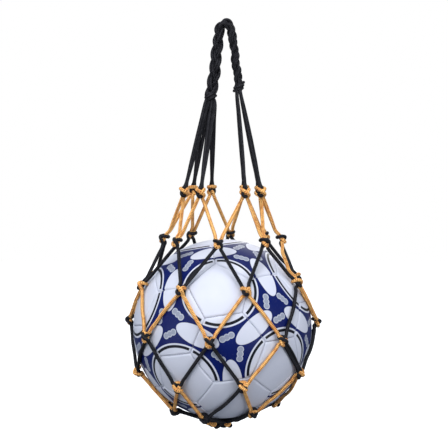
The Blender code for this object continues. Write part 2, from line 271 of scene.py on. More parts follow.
def frames(route, closed):
    """Two directions across the route at each place, carried along it without twist."""
    if closed:
        tangent = unit(np.roll(route, -1, 0) - np.roll(route, 1, 0))
    else:
        tangent = unit(np.gradient(route, axis=0))
    side = np.zeros_like(route)
    first = np.cross(tangent[0], UP if abs(tangent[0] @ UP) < 0.9 else np.array([1.0, 0, 0]))
    side[0] = unit(first)
    for i in range(1, len(route)):
        carried = side[i - 1] - tangent[i] * (side[i - 1] @ tangent[i])
        side[i] = carried / np.linalg.norm(carried)
    if closed:
        last = side[-1] - tangent[0] * (side[-1] @ tangent[0])
        last /= np.linalg.norm(last)
        off = atan2(np.cross(last, side[0]) @ tangent[0], last @ side[0])
        turn = off * np.arange(len(route)) / len(route)
        other = np.cross(tangent, side)
        side = side * np.cos(turn)[:, None] + other * np.sin(turn)[:, None]
    return side, np.cross(tangent, side)


class Cord:
    """Several tubes of braided cord gathered into one mesh."""

    def __init__(self, name, looks):
        self.name = name
        self.looks = looks
        self.points, self.faces, self.places, self.kinds, self.count = [], [], [], [], 0

    def add(self, points, radius, closed=False, kind=None, step=0.7 * MM, sides=16, ends="round"):
        """Adds one tube. kind is a function from control index to the index of the look there."""
        route, travelled, marks, length = spline(points, step, closed)
        side, other = frames(route, closed)
        picks = max(int(round(length / (2 * PICK))), 1) * 2
        along = travelled / length * picks
        angle = np.arange(sides) * 2 * pi / sides
        radii = np.full(len(route), radius)
        if ends == "round" and not closed:
            inside = np.minimum(travelled, length - travelled)
            radii = radius * np.sqrt(np.clip(1 - np.clip(1 - inside / radius, 0, 1) ** 2, BLUNT, 1))
        turned = angle[None] * YARNS / (2 * pi)
        left, right = turned + along[:, None], turned - along[:, None]
        over = np.mod(np.floor(left) + np.floor(right), 2)
        arch = np.where(over > 0, np.sin(pi * np.mod(left, 1)), np.sin(pi * np.mod(right, 1)))
        reach = radii[:, None] * (1 - RELIEF / 2 + RELIEF * arch)
        ring = (route[:, None] + side[:, None] * (reach * np.cos(angle))[..., None]
                + other[:, None] * (reach * np.sin(angle))[..., None])
        rows = len(route)
        index = self.count + np.arange(rows * sides).reshape(rows, sides)
        following = np.roll(index, -1, 0) if closed else index[1:]
        here = index if closed else index[:-1]
        quads = np.stack([here, np.roll(here, -1, 1), np.roll(following, -1, 1), following], axis=-1)
        start, end = along, np.append(along[1:], picks)
        if not closed:
            start, end = along[:-1], along[1:]
        place = np.zeros(quads.shape[:2] + (4, 3))
        yarn = np.arange(sides) * YARNS / sides
        place[..., 0, 0] = place[..., 1, 0] = start[:, None]
        place[..., 2, 0] = place[..., 3, 0] = end[:, None]
        place[..., 0, 1] = place[..., 3, 1] = yarn
        place[..., 1, 1] = place[..., 2, 1] = yarn + YARNS / sides
        chosen = np.zeros(len(here), int)
        if kind:
            chosen = np.array([kind(m) for m in marks[:len(here)]])
        self.points.append(ring.reshape(-1, 3))
        self.faces.append(quads.reshape(-1, 4))
        self.places.append(place.reshape(-1, 3))
        self.kinds.append(np.repeat(chosen, sides))
        self.count += rows * sides
        if not closed:
            for row, centre, flip in ((index[0], route[0], True), (index[-1], route[-1], False)):
                self.points.append(centre[None])
                tip = self.count
                self.count += 1
                loop = row[::-1] if flip else row
                cap = np.stack([loop, np.roll(loop, -1), np.full(sides, tip), np.full(sides, tip)], axis=-1)
                self.faces.append(cap)
                self.places.append(np.zeros((sides * 4, 3)) + [along[0 if flip else -1], 0.5, 0])
                self.kinds.append(np.repeat(chosen[0 if flip else -1], sides))
        return length

    def build(self):
        points, faces = np.vstack(self.points), np.vstack(self.faces)
        triangle = faces[:, 2] == faces[:, 3]
        sizes = np.where(triangle, 3, 4)
        keep = np.ones(faces.shape, bool)
        keep[triangle, 3] = False
        mesh = bpy.data.meshes.new(self.name)
        mesh.vertices.add(len(points))
        mesh.vertices.foreach_set("co", points.astype(np.float32).ravel())
        mesh.loops.add(int(sizes.sum()))
        mesh.loops.foreach_set("vertex_index", faces[keep].astype(np.int32))
        mesh.polygons.add(len(faces))
        mesh.polygons.foreach_set("loop_start", np.concatenate([[0], np.cumsum(sizes)[:-1]]).astype(np.int32))
        mesh.polygons.foreach_set("loop_total", sizes.astype(np.int32))
        mesh.polygons.foreach_set("material_index", np.concatenate(self.kinds).astype(np.int32))
        place = mesh.attributes.new("cord_place", "FLOAT_VECTOR", "CORNER")
        corners = np.vstack(self.places).reshape(-1, 4, 3)[keep]
        place.data.foreach_set("vector", corners.astype(np.float32).ravel())
        for look in self.looks:
            mesh.materials.append(LOOKS[look])
        mesh.update(calc_edges=True)
        mesh.validate()
        mesh.shade_smooth()
        made = bpy.data.objects.new(self.name, mesh)
        bpy.context.scene.collection.objects.link(made)
        return made


# ---------------------------------------------------------------- net

CORD = 2.1 * MM  # radius of the net's cord
D = 2 * CORD
LAID = BALL_RADIUS + CORD + 0.35 * MM  # where a cord's middle runs when it lies on the ball

# A sheet bend, in cord diameters: across, up, and out of the ball. The loop comes down from the row above,
# and the lower row's cord comes up through it, goes round behind its neck and passes across its front.
LOOP = [(-0.5, 1.0, 0.85), (-0.85, 0.2, 1.1), (-0.9, -0.65, 1.5), (-0.2, -1.25, 1.5),
        (0.5, -0.75, 1.15), (0.6, 0.2, 0.8), (0.5, 1.0, 0.85)]
WRAP = [(-0.5, -0.9, 0.15), (-0.2, -0.6, 0.6), (0.15, -0.25, 1.15), (0.5, 0.15, 1.8), (0.85, 0.55, 1.75),
        (1.15, 0.95, 1.2), (1.15, 1.15, 0.5), (0.65, 1.2, 0.0), (-0.1, 1.25, -0.08), (-0.8, 1.2, 0.1),
        (-1.3, 1.15, 0.75), (-1.05, 0.95, 1.5), (-0.45, 0.62, 1.95), (0.25, 0.25, 2.3), (0.9, -0.2, 2.0),
        (1.2, -0.8, 1.1)]
TIGHT = np.array([0.8, 0.88, 0.88])  # how far a pulled knot closes up each way
FLAT = 0.35  # how far the last ring's knots stand out, beside full ones


class Knot:
    """A knot's place, and its own directions: along its row, up, and out of the ball."""

    def __init__(self, place, along, out, bulk=1.0):
        self.place, self.along, self.out = np.array(place), unit(along), unit(out)
        self.up = np.cross(self.out, self.along)
        self.bulk = bulk  # how far it stands off the ball, beside a full knot

    def at(self, point):
        x, y, z = np.array(point) * TIGHT * D
        return self.place + self.along * x + self.up * y + self.out * z * self.bulk

    def towards(self, target, far, z, shift=0.0):
        """A place that far from the knot's middle towards another place, at height z."""
        heading = np.array(target) - self.place
        heading = unit(heading - self.out * (heading @ self.out))
        side = np.cross(self.out, heading)
        return self.place + (heading * far + side * shift + self.out * z * self.bulk) * D


def knot_rings():
    """The knots of each ring, from the mouth down to the pole."""
    mouth = []
    for x, y in MOUTH_POINTS:
        front = -1 if y < 0 else 1
        out = np.array([0.0, front, 0.0])
        place = BALL_CENTRE + np.array([x * MM, y * MM, MOUTH_HEIGHT]) - out * 0.8 * D
        mouth.append(Knot(place, (-front, 0, 0), out))
    shoulder = []
    for azimuth in SHOULDER_AZIMUTHS:
        level = direction(azimuth)
        out = unit(level * 2 + UP)
        place = BALL_CENTRE + level * SHOULDER_RADIUS + UP * SHOULDER_HEIGHT - out * 0.6 * D
        shoulder.append(Knot(place, direction(azimuth + 90), out))
    rings = [mouth, shoulder]
    for ring in RINGS:
        bulk = FLAT if ring is RINGS[-1] else 1.0
        rings.append([
            Knot(BALL_CENTRE + direction(a, latitude) * LAID, direction(a + 90), direction(a, latitude), bulk)
            for a, latitude in ring
        ])
    return rings


KNOTS = knot_rings()


def stretch(start, end, count):
    """Places between two points, straight or lying on the ball."""
    places = []
    for n in range(1, count + 1):
        place = start + (end - start) * n / (count + 1) - BALL_CENTRE
        places.append(BALL_CENTRE + place * max(1.0, LAID / np.linalg.norm(place)))
    return places


def loop_points(knot, left, right):
    """The turn that hangs from two places above the knot."""
    return ([knot.towards(left, 3.0, 0.35), knot.towards(left, 1.7, 0.75, 0.2)] + [knot.at(p) for p in LOOP]
            + [knot.towards(right, 1.7, 0.75, -0.2), knot.towards(right, 3.0, 0.35)])


def wrap_points(knot, left, right):
    """The turn round a loop, between the legs that go down to two places."""
    return ([knot.towards(left, 2.6, 0.05), knot.towards(left, 1.45, 0.05)] + [knot.at(p) for p in WRAP]
            + [knot.towards(right, 1.55, 0.45), knot.towards(right, 2.7, 0.1)])


def leg_targets(row):
    """For each wrap (upper knot) and loop (lower knot) of a row: the places its two legs run to."""
    above, below = KNOTS[row - 1], KNOTS[row]
    first = row % 2 == 0
    wraps, loops = [], []
    for k in range(AROUND):
        right = below[k] if first else below[(k + 1) % AROUND]
        left = below[k - 1] if first else below[k]
        wraps.append((left.place, right.place))
        left = above[k] if first else above[k - 1]
        right = above[(k + 1) % AROUND] if first else above[k]
        loops.append((left.place, right.place))
    return wraps, loops


# Legs of the net where the other colour shows, since each row's cord is tied off near the front right:
# row, upper knot, side
SWAPPED = {(3, 3, "left"), (4, 3, "left"), (5, 2, "left")}
SWAP_REACH = 6  # control places that the other colour runs into the knot at each end of the leg


def net_row(row):
    """One closed zigzag that wraps the loops of the row above and hangs its own loops below."""
    look = ["orange", "black"][(row + 1) % 2]
    other = "black" if look == "orange" else "orange"
    above, below = KNOTS[row - 1], KNOTS[row]
    wraps, loops = leg_targets(row)
    first = row % 2 == 0
    turns = []
    for k in range(AROUND):
        high = ("wrap", k, wrap_points(above[k], *wraps[k]))
        low = ("loop", k, loop_points(below[k], *loops[k]))
        turns += [high, low] if first else [low, high]
    points, swaps = [], []
    for (kind, k, turn), (_, next_k, following) in zip(turns, turns[1:] + turns[:1]):
        points += list(turn)
        leg = (row, k, "right") if kind == "wrap" else (row, next_k, "left")
        begin = len(points) - SWAP_REACH
        points += stretch(turn[-1], following[0], 2 if row == 1 else 4)
        if leg in SWAPPED:
            swaps.append((begin, len(points) + SWAP_REACH))

    def which(mark):
        return int(any(a <= mark <= b for a, b in swaps))

    cord = Cord(f"net_cord_{row}", [look, other])
    cord.add(points, CORD, closed=True, kind=which)
    return cord


def net():
    for row in range(1, NET_ROWS + 1):
        made = net_row(row).build()
        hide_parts(f"net_row_{row}")
        if row == 1:
            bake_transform(made)
        else:
            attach(made, "net")


net()


# Ends of cord: look, ring and number of the knots at both ends of its leg, diameters beside that leg
TIED_OFF = [
    ("orange", 1, 4, 2, 3, -0.95),
    ("orange", 2, 3, 3, 4, -0.9),
    ("black", 3, 3, 4, 3, 0.9),
]


def doubled_cords():
    """Ends of the rows' cords, laid beside the legs that they were tied off along."""
    for number, (look, ring, k, next_ring, next_k, beside) in enumerate(TIED_OFF):
        high, low = KNOTS[ring][k], KNOTS[next_ring][next_k]
        heading = unit(low.place - high.place)
        side = unit(np.cross(high.out + low.out, heading))
        start = high.at((0.0, -0.6, 0.6))
        end = low.at((0.0, 0.9, 1.0))
        points = [start, high.towards(low.place, 1.9, 0.45, beside * 0.6)]
        for place in stretch(high.place + heading * 2.6 * D, low.place - heading * 2.2 * D, 4):
            points.append(place + side * beside * D)
        points += [low.towards(high.place, 2.0, 0.9, -beside * 0.6), end]
        cord = Cord(f"tied_off_cord_{number + 1}", [look])
        cord.add(points, CORD * 0.97)
        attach(cord.build(), "net")


doubled_cords()

# ---------------------------------------------------------------- hangers

SPACING = 4.3 * MM  # between strands, side by side in a binding
CLOSE = 0.86  # how far the left binding draws them together sideways
TIE_DROP = 7.1 * MM  # from a binding's middle down to where the strands leave it
INSIDE = np.array([0.62, 0.62, 0.25])  # where a strand ends inside its binding, as a share of the way out
BOW = 0.35 * MM  # how far a strand bows outward, times 1 to 3
# Mouth knot, then the strands' place in the binding, in spacings across and front to back
LEFT_LOOPS = [(0, -1.5, -1), (1, 0.5, -1), (7, -1.5, 1), (6, 0.5, 1)]
RIGHT_LOOPS = [(2, -1, -1.5), (3, 1, -1.5), (5, -1, 1.5), (4, 1, 1.5)]


def hanger_tops():
    """(name, knot, where its two strands leave the tie) of each hanging loop."""
    loops = []
    for n, (index, across, row) in enumerate(LEFT_LOOPS):
        near = LEFT_TIE + np.array([across * CLOSE, row / 2, 0]) * SPACING - UP * TIE_DROP
        tops = [near, near + np.array([SPACING * CLOSE, 0, 0])]
        if row > 0:
            tops.reverse()
        loops.append((f"hanger_left_{n + 1}", KNOTS[0][index], tops))
    for n, (index, column, row) in enumerate(RIGHT_LOOPS):
        nearer = row - 0.5 * row / abs(row)
        middle = RIGHT_TIE + np.array([column / 2, nearer, 0]) * SPACING - UP * TIE_DROP
        half = np.array([0, SPACING / 2, 0])
        tops = [middle - half, middle + half]
        if KNOTS[0][index].along[0] * column < 0:
            tops.reverse()
        loops.append((f"hanger_right_{n + 1}", KNOTS[0][index], tops))
    return loops


def hangers():
    """Each loop: a strand down from its binding, the turn through a mouth knot, and a strand back up."""
    for number, (name, knot, tops) in enumerate(hanger_tops()):
        tie = LEFT_TIE if "left" in name else RIGHT_TIE
        turn = loop_points(knot, tops[0], tops[1])
        strands = []
        for top, foot, bow in ((tops[0], turn[0], -1), (tops[1], turn[-1], 1)):
            inside = tie + (top - tie) * INSIDE
            swell = knot.along * bow * BOW * (1 + number % 3)
            middle = [top + (foot - top) * s + swell * sin(pi * s) for s in (0.22, 0.48, 0.76)]
            strands.append([inside, top] + middle)
        points = strands[0] + turn + strands[1][::-1]
        cord = Cord(f"{name}_cord", ["black"])
        cord.add(points, CORD, ends="flat")
        made = cord.build()
        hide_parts(name)
        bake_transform(made)


hangers()

# ---------------------------------------------------------------- handle

PLAIT_PITCH = 49 * MM
PLAIT_WIDE = 3.7 * MM
PLAIT_DEEP = 2.4 * MM
PLAIT_POINTS = 84  # places along the loop
PLAIT_CORD = 1.8 * MM  # radius, since the plait draws the cords tight
BUNDLE_SPREAD = 1.7 * MM
BUNDLES = (3, 3, 2)  # cords in each
TURN_START, TURN_SHARE = 0.35, 0.3  # where along the loop the plait turns its flat side, and for how long
FULL, FULL_SHARE = 0.25, 0.12  # how much fuller the plait is at its left end, and how soon that fades
DRAWN, DRAWN_SHARE = 0.25, 0.03  # how far the bindings draw its ends in, and how soon that fades
CORD_TWIST = 5.0  # radians that a bundle's cords twist round each other along the loop


def plait():
    """Eight cords in three bundles that weave a flat plait, turned a quarter over the hook."""
    route, _, _, length = spline(np.array([(x, 0, z) for x, z in HANDLE_ROUTE]) * MM, 0.5 * MM)
    pick = np.linspace(0, len(route) - 1, PLAIT_POINTS)
    route = np.stack([np.interp(pick, np.arange(len(route)), route[:, k]) for k in range(3)], axis=1)
    share = np.linspace(0, 1, PLAIT_POINTS)[:, None]
    along = unit(np.gradient(route, axis=0))
    depth = np.array([0.0, -1.0, 0.0])
    side = np.cross(along, depth)
    turned = np.clip((share - TURN_START) / TURN_SHARE, 0, 1)
    twist = pi / 2 * turned * turned * (3 - 2 * turned)
    wide = side * np.cos(twist) + depth * np.sin(twist)
    deep = depth * np.cos(twist) - side * np.sin(twist)
    full = 1 + FULL * np.exp(-share / FULL_SHARE)
    drawn = DRAWN * np.exp(-np.minimum(share, 1 - share) / DRAWN_SHARE)
    spread = 1 - drawn + 0.3 * np.exp(-share / FULL_SHARE)
    for bundle, cords in enumerate(BUNDLES):
        phase = 2 * pi * (share * length / PLAIT_PITCH + bundle / len(BUNDLES))
        sway = wide * PLAIT_WIDE * np.sin(phase) + deep * PLAIT_DEEP * np.sin(2 * phase)
        middle = route + sway * full
        first, second = frames(middle, False)
        cord = Cord(f"plait_cords_{bundle + 1}", ["black"])
        for n in range(cords):
            angle = 2 * pi * n / cords + share * CORD_TWIST + bundle
            offset = first * np.cos(angle) + second * np.sin(angle)
            route_here = middle + offset * BUNDLE_SPREAD * spread
            cord.add(route_here, PLAIT_CORD, step=0.6 * MM, sides=14, ends="flat")
        made = cord.build()
        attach(made, "handle")
        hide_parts(f"plait_bundle_{bundle + 1}")


WRAP_ANGLES = (-0.35 * pi, 4.3 * pi)  # a binding's cord winds from one to the other
TUCK_ANGLE = 2.05 * pi  # it tucks in where it is further than this from the middle of its winding
WRAP_PITCH = 3.5 * MM
CORE_LENGTH = 11 * MM  # the bound strands inside it


def tie(name, middle, wide, deep, slope, lean):
    """A cord wound slantwise round the strands where the plait ends, with its ends tucked through."""
    points = []
    begin, end = WRAP_ANGLES
    for t in np.linspace(begin, end, 44):
        tucked = abs(t - (begin + end) / 2) > TUCK_ANGLE
        squeeze = 0.5 if tucked else 1.0
        x, y = wide * cos(t) * squeeze, -deep * sin(t) * squeeze
        z = slope * x + (t / (2 * pi) - 1) * WRAP_PITCH
        points.append(middle + np.array([x + lean * z, y, z]))
    cord = Cord(f"{name}_wrap", ["black"])
    cord.add(points, PLAIT_CORD, sides=14)
    core = []
    for t in np.linspace(-0.5, 0.5, 5):
        core.append(middle + np.array([lean, 0, 1.0]) * t * CORE_LENGTH)
    cord.add(core, 0.55 * (wide + deep) - 0.6 * MM, sides=20)
    made = cord.build()
    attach(made, "handle")
    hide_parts(name)


plait()
tie("left_tie", LEFT_TIE + np.array([0.4, 0, 0.5]) * MM, 6.3 * MM, 5.2 * MM, 0.6, -0.25)
tie("right_tie", RIGHT_TIE + np.array([0.0, 0, -0.5]) * MM, 4.7 * MM, 6.4 * MM, 0.55, 0.2)


# Under the ball, in millimetres from the middle of the gathered turns
GATHER_DROP = 6.4 * MM  # how far that is below the ball
GATHER_CORD = 1.9 * MM
DRAWN_TURNS = [(12.0, 1.2), (9.6, -1.0)]  # radius, height
SMALL_LOOPS = [(-17.0, -7.0, 1.0, 1.1), (-10.6, -10.5, -0.6, 0.9), (6.4, -10.5, -0.4, 1.0)]  # place, lean
SMALL_LOOP = 2.4
KNOT_CORD = 2.2 * MM
KNOT_SIZE = 3.2
KNOT_MIDDLE = np.array([-4.3, -1.0, -3.2])
TAIL = [(3.0, 1.0, -3.8), (6.5, 2.2, -4.8), (9.0, 4.2, -4.4), (11.0, 7.5, -2.8)]


def gather():
    """The cord threaded through the last row's loops, drawn tight and knotted under the ball."""
    cord = Cord("gather_cord", ["black", "orange"])
    middle = BALL_CENTRE - UP * (BALL_RADIUS + GATHER_DROP)

    def ring(centre, reach, tilt, lean, kind):
        turns = []
        for t in np.linspace(0, 2 * pi, 17)[:-1]:
            rise = tilt * cos(t) + sin(t) * sin(lean)
            turns.append(middle + (np.array([cos(t), sin(t) * cos(lean), rise]) * reach + centre) * MM)
        cord.add(turns, GATHER_CORD, closed=True, kind=lambda mark: kind)

    for reach, lift in DRAWN_TURNS:
        ring((-1.0, 0, lift), reach, 0.05, 0.0, 0)
    for across, depth, lift, lean in SMALL_LOOPS:
        ring((across, depth, lift), SMALL_LOOP, 0.25, lean, 1)
        ring((across + 1.6, depth + 2.0, lift - 2.2), SMALL_LOOP, -0.3, lean - 0.5, 0)
    knot = []
    for t in np.linspace(0, 2 * pi, 37)[:-1]:
        trefoil = np.array([sin(t) + 2 * sin(2 * t), cos(t) - 2 * cos(2 * t), -0.8 * sin(3 * t)])
        knot.append(middle + (trefoil * KNOT_SIZE + KNOT_MIDDLE) * MM)
    cord.add(knot, KNOT_CORD, closed=True)
    for side in (-1, 1):
        tail = [middle + np.array([side * x - 4.0, side * y, z]) * MM for x, y, z in TAIL]
        cord.add(tail, GATHER_CORD)
    made = cord.build()
    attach(made, "net")
    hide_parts("gather_knot")


gather()

# ---------------------------------------------------------------- ball

COVER = 2.4 * MM
PANEL_ROWS = 18
PANEL_COLUMNS = 15  # along each side
SEAM_DEPTH = 1.25 * MM
SEAM_WIDTH = 2.6 * MM
HALF_GAP = 0.18 * MM
GAP_REACH = 2 * MM  # how far from a seam the panel is drawn back to leave that gap
PUCKER, PUCKER_WIDTH = 0.16 * MM, 1.5 * MM
STITCH = 3.4 * MM
VALVE_HOLE = 4.4 * MM
VALVE_DIP = 0.9 * MM

# The print, in degrees at the ball's middle
TO_PENTAGON = 37.377  # from a hexagon's middle to a pentagon's
TO_SEAM = 20.905  # from a hexagon's middle to each of its seams
CIRCLE = (23.95, 24.15)  # the white circle's edge
LINE = (21.25, 23.0)  # the black line in it
LINE_GAP = (1.25, 1.4)  # where that line stops, from a seam
EDGE = 0.09  # half the width over which an edge of the line fades
PETAL_WIDE, PETAL_LONG = 5.9, 14.6  # half sizes
PETAL_EDGE = (0.985, 1.015)  # as a share of those
CHAIN_PLACE = 7.6  # from the hexagon's middle to the chain's
CHAIN_TURN = 17
CHAIN_STEP = 2.9  # between two of its three discs
DISC, DISC_INSIDE = (2.0, 2.15), (1.45, 1.6)


def hexagon_fields(n):
    """Angles over a hexagon, in degrees: from the nearest pentagon's middle, from the nearest seam between
    two hexagons, inside which petal (below 1), and to the nearest disc of a chain."""
    place = n.vector("NORMALIZE", n.attribute("panel_place"))

    def dot(v):
        return n.vector("DOT_PRODUCT", place, tuple(v))

    def degrees_of(value, how):
        return n.math("MULTIPLY", n.math(how, value), 180 / pi)

    def lowest(values):
        return n.math("MINIMUM", n.math("MINIMUM", values[0], values[1]), values[2])

    def length(a, b):
        return n.math("SQRT", n.math("ADD", a, b))

    def turned(a, b, sign):
        return n.math(sign, n.math("MULTIPLY", a, cos(turn)), n.math("MULTIPLY", b, -sin(turn)))

    tilt, seam, turn = radians(TO_PENTAGON), radians(TO_SEAM), radians(CHAIN_TURN)
    pentagons, seams, petals, chains = [], [], [], []
    upright = dot((0, 0, 1))
    for k in range(3):
        a, b = radians(120 * k), radians(120 * k + 60)
        pentagon = (sin(tilt) * cos(a), sin(tilt) * sin(a), cos(tilt))
        pentagons.append(degrees_of(dot(pentagon), "ARCCOSINE"))
        off = degrees_of(dot((-cos(seam) * cos(b), -cos(seam) * sin(b), sin(seam))), "ARCSINE")
        across = degrees_of(dot((-sin(b), cos(b), 0)), "ARCSINE")
        seams.append(off)
        petals.append(length(n.math("POWER", n.math("DIVIDE", across, PETAL_WIDE), 2.0),
                             n.math("POWER", n.math("DIVIDE", off, PETAL_LONG), 2.0)))
        steep = n.math("DIVIDE", dot((cos(a), sin(a), 0)), upright)
        out = n.math("SUBTRACT", degrees_of(steep, "ARCTANGENT"), CHAIN_PLACE)
        side = degrees_of(dot((-sin(a), cos(a), 0)), "ARCSINE")
        outward = turned(out, side, "SUBTRACT")
        beside = n.math("ABSOLUTE", turned(side, out, "ADD"))
        discs = []
        for middle in (0.0, CHAIN_STEP):
            gap = n.math("SUBTRACT", beside, middle)
            discs.append(length(n.square(gap), n.square(outward)))
        chains.append(n.math("MINIMUM", discs[0], discs[1]))
    return lowest(pentagons), lowest(seams), lowest(petals), lowest(chains)


def cover_material(name, printed):
    """Coated leather: fine grain, and on a hexagon the ball's print."""
    n = Nodes(name)
    where = n.object_place()
    cells = n.node("ShaderNodeTexVoronoi", {"feature": "SMOOTH_F1"}, Vector=where, Scale=1150.0)
    soft = n.noise(60.0, 3.0, where)
    colour = n.mix(soft, (0.54, 0.565, 0.665), (0.60, 0.62, 0.71))
    if printed:
        ring, seam, petal, chain = hexagon_fields(n)
        blue_here = n.math("MULTIPLY", n.step(ring, *CIRCLE), n.step(petal, *PETAL_EDGE))
        blue = n.mix(n.noise(35.0, 2.0, where), (0.0, 0.004, 0.072), (0.0, 0.008, 0.108))
        colour = n.mix(blue_here, colour, blue)
        for size, grey in ((DISC, (0.42, 0.45, 0.53)), (DISC_INSIDE, (0.26, 0.285, 0.36))):
            colour = n.mix(n.math("MULTIPLY", n.below(chain, *size), blue_here), colour, grey)
        within = n.math("MULTIPLY", n.step(ring, LINE[0] - EDGE, LINE[0] + EDGE),
                        n.below(ring, LINE[1] - EDGE, LINE[1] + EDGE))
        line = n.math("MULTIPLY", within, n.step(seam, *LINE_GAP))
        colour = n.mix(line, colour, (0.004, 0.005, 0.010))
    dust = n.math("MULTIPLY", n.step(n.noise(420.0, 4.0, where, 0.7), 0.56, 0.75), 0.05)
    colour = n.mix(dust, colour, (0.42, 0.42, 0.45))
    height = n.math("ADD", n.math("MULTIPLY", cells.outputs["Distance"], 0.8), n.math("MULTIPLY", soft, 0.5))
    n.bump(height, 0.16, 0.4 * MM)
    rough = n.math("ADD", n.math("MULTIPLY", n.noise(240.0, 3.0, where), 0.14), 0.36)
    return n.set(Base_Color=colour, Roughness=rough, Specular_IOR_Level=0.16,
                 Coat_Weight=0.04, Coat_Roughness=0.3)


PRINTED = cover_material("cover_hexagon_printed", True)
PLAIN = cover_material("cover_white", False)
PLAIN_HEXAGON = direction(8, -48)  # the hexagon that has no print, low on the front


def pentagon_middles():
    """The 12 corners of an icosahedron with one at the front pentagon, from the top down."""
    front = direction(*FRONT_PENTAGON)
    right = unit(np.cross(UP, front))
    up = np.cross(front, right)
    middles = [front, -front]
    for n in range(5):
        roll = radians(FRONT_PENTAGON_ROLL + 72 * n)
        neighbour = front * cos(atan(2)) + (up * cos(roll) + right * sin(roll)) * sin(atan(2))
        middles += [neighbour, -neighbour]
    return sorted(middles, key=lambda middle: -middle[2])


def in_order(middle, corners):
    """The corners in order round the middle."""
    across = unit(corners[0] - middle * (corners[0] @ middle))
    up = np.cross(middle, across)
    return sorted(corners, key=lambda corner: atan2(corner @ up, corner @ across))


def panel_outlines():
    """(name, middle, corners, the direction that its print starts from) of each panel."""
    middles = pentagon_middles()
    outlines = []

    def near(a, b):
        return 0.1 < np.linalg.norm(a - b) < 1.2

    for n, one in enumerate(middles):
        corners = [one + (other - one) / 3 for other in middles if near(one, other)]
        outlines.append((f"panel_pentagon_{n + 1}", one, in_order(one, corners), corners[0]))
    triples = [t for t in combinations(middles, 3) if all(near(a, b) for a, b in combinations(t, 2))]
    for n, three in enumerate(sorted(triples, key=lambda three: -sum(three)[2])):
        middle = unit(sum(three))
        corners = [a + (b - a) / 3 for a in three for b in three if a is not b]
        outlines.append((f"panel_hexagon_{n + 1}", middle, in_order(middle, corners), three[0]))
    return outlines


def seam_profile(off, along):
    """How far the cover's surface dips at a distance from the seam: the edge turns down into it, and the
    stitches pull small puckers."""
    t = np.clip(1 - off / SEAM_WIDTH, 0, 1)
    dip = SEAM_DEPTH * t ** 2.4
    pucker = PUCKER * np.cos(2 * pi * along / STITCH) * np.exp(-((off / PUCKER_WIDTH) ** 2))
    return dip + pucker


def panel(name, middle, corners, start, hole):
    """One panel, as rings from its middle to its edge, outside and inside, joined by its walls."""
    sides = len(corners)
    columns = sides * PANEL_COLUMNS
    flat = sum(corners) / sides
    edge, inward = [], []
    for a, b in zip(corners, corners[1:] + corners[:1]):
        for k in range(PANEL_COLUMNS):
            edge.append(a + (b - a) * k / PANEL_COLUMNS)
        inward.append(unit(np.cross(a, b)))
    edge, inward = np.array(edge), np.array(inward)
    first = VALVE_HOLE / BALL_RADIUS
    rows = []
    for j in range(PANEL_ROWS + 1):
        share = 1 - (1 - j / PANEL_ROWS) ** 1.8
        reach = edge - flat
        if hole:
            size = np.linalg.norm(reach, axis=1, keepdims=True)
            place = flat + reach / size * (first + (size - first) * share)
        else:
            place = flat + reach * share
        rows.append(unit(place))
    rows = np.array(rows)
    off = np.arcsin(np.clip(rows @ inward.T, -1, 1)) * BALL_RADIUS
    nearest = off.argmin(2)
    off = np.maximum(off.min(2), 0)
    tips = np.array(corners)[nearest]
    ends = np.array(corners[1:] + corners[:1])[nearest]
    lines = unit(ends - tips)
    middle_of_side = unit(tips + ends)
    travelled = np.einsum("ijk,ijk->ij", rows - middle_of_side, lines) * BALL_RADIUS
    radius = BALL_RADIUS - seam_profile(off, travelled)
    if hole:
        from_hole = np.arange(PANEL_ROWS + 1)[:, None] / PANEL_ROWS
        radius = radius - VALVE_DIP * np.exp(-from_hole / 0.05)
    shift = unit(middle - rows * (rows @ middle)[..., None]) * (HALF_GAP / BALL_RADIUS)
    shift *= np.clip(1 - off / GAP_REACH, 0, 1)[..., None]
    if not hole:
        shift[0] = 0
    turned = unit(rows + shift)
    outer = BALL_CENTRE + turned * radius[..., None]
    inner = BALL_CENTRE + turned * (BALL_RADIUS - COVER)
    across = unit(start - middle * (start @ middle))
    basis = np.stack([across, np.cross(middle, across), middle])
    points, faces = [], []
    skip = 0 if hole else 1

    def sheet(surface, flip):
        base = len(points)
        points.extend(surface[skip:].reshape(-1, 3))
        count = len(surface) - skip
        index = base + np.arange(count * columns).reshape(count, columns)
        for j in range(count - 1):
            for k in range(columns):
                after = (k + 1) % columns
                quad = [index[j, k], index[j + 1, k], index[j + 1, after], index[j, after]]
                faces.append(quad[::-1] if flip else quad)
        if not hole:
            points.append(surface[0].mean(0))
            tip = len(points) - 1
            for k in range(columns):
                fan = [tip, index[0, k], index[0, (k + 1) % columns]]
                faces.append(fan[::-1] if flip else fan)
        return index

    out = sheet(outer, False)
    within = sheet(inner, True)
    walls = [(out[-1], within[-1], False)]
    if hole:
        walls.append((out[0], within[0], True))
    for top, bottom, flip in walls:
        for k in range(columns):
            wall = [top[k], bottom[k], bottom[(k + 1) % columns], top[(k + 1) % columns]]
            faces.append(wall[::-1] if flip else wall)
    mesh = bpy.data.meshes.new(f"{name}_leather")
    mesh.from_pydata([tuple(p) for p in points], [], [[int(i) for i in f] for f in faces])
    place = mesh.attributes.new("panel_place", "FLOAT_VECTOR", "POINT")
    local = unit(np.array(points) - BALL_CENTRE) @ basis.T
    place.data.foreach_set("vector", local.astype(np.float32).ravel())
    printed = sides == 6 and middle @ PLAIN_HEXAGON < cos(radians(12))
    mesh.materials.append(PRINTED if printed else PLAIN)
    mesh.validate()
    mesh.shade_smooth()
    mesh.set_sharp_from_angle(angle=radians(55))
    made = bpy.data.objects.new(f"{name}_leather", mesh)
    bpy.context.scene.collection.objects.link(made)
    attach(made, "ball")
    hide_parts(name)


def ball():
    valve = -direction(*FRONT_PENTAGON)
    for name, middle, corners, start in panel_outlines():
        panel(name, middle, corners, start, middle @ valve > 0.99)


ball()


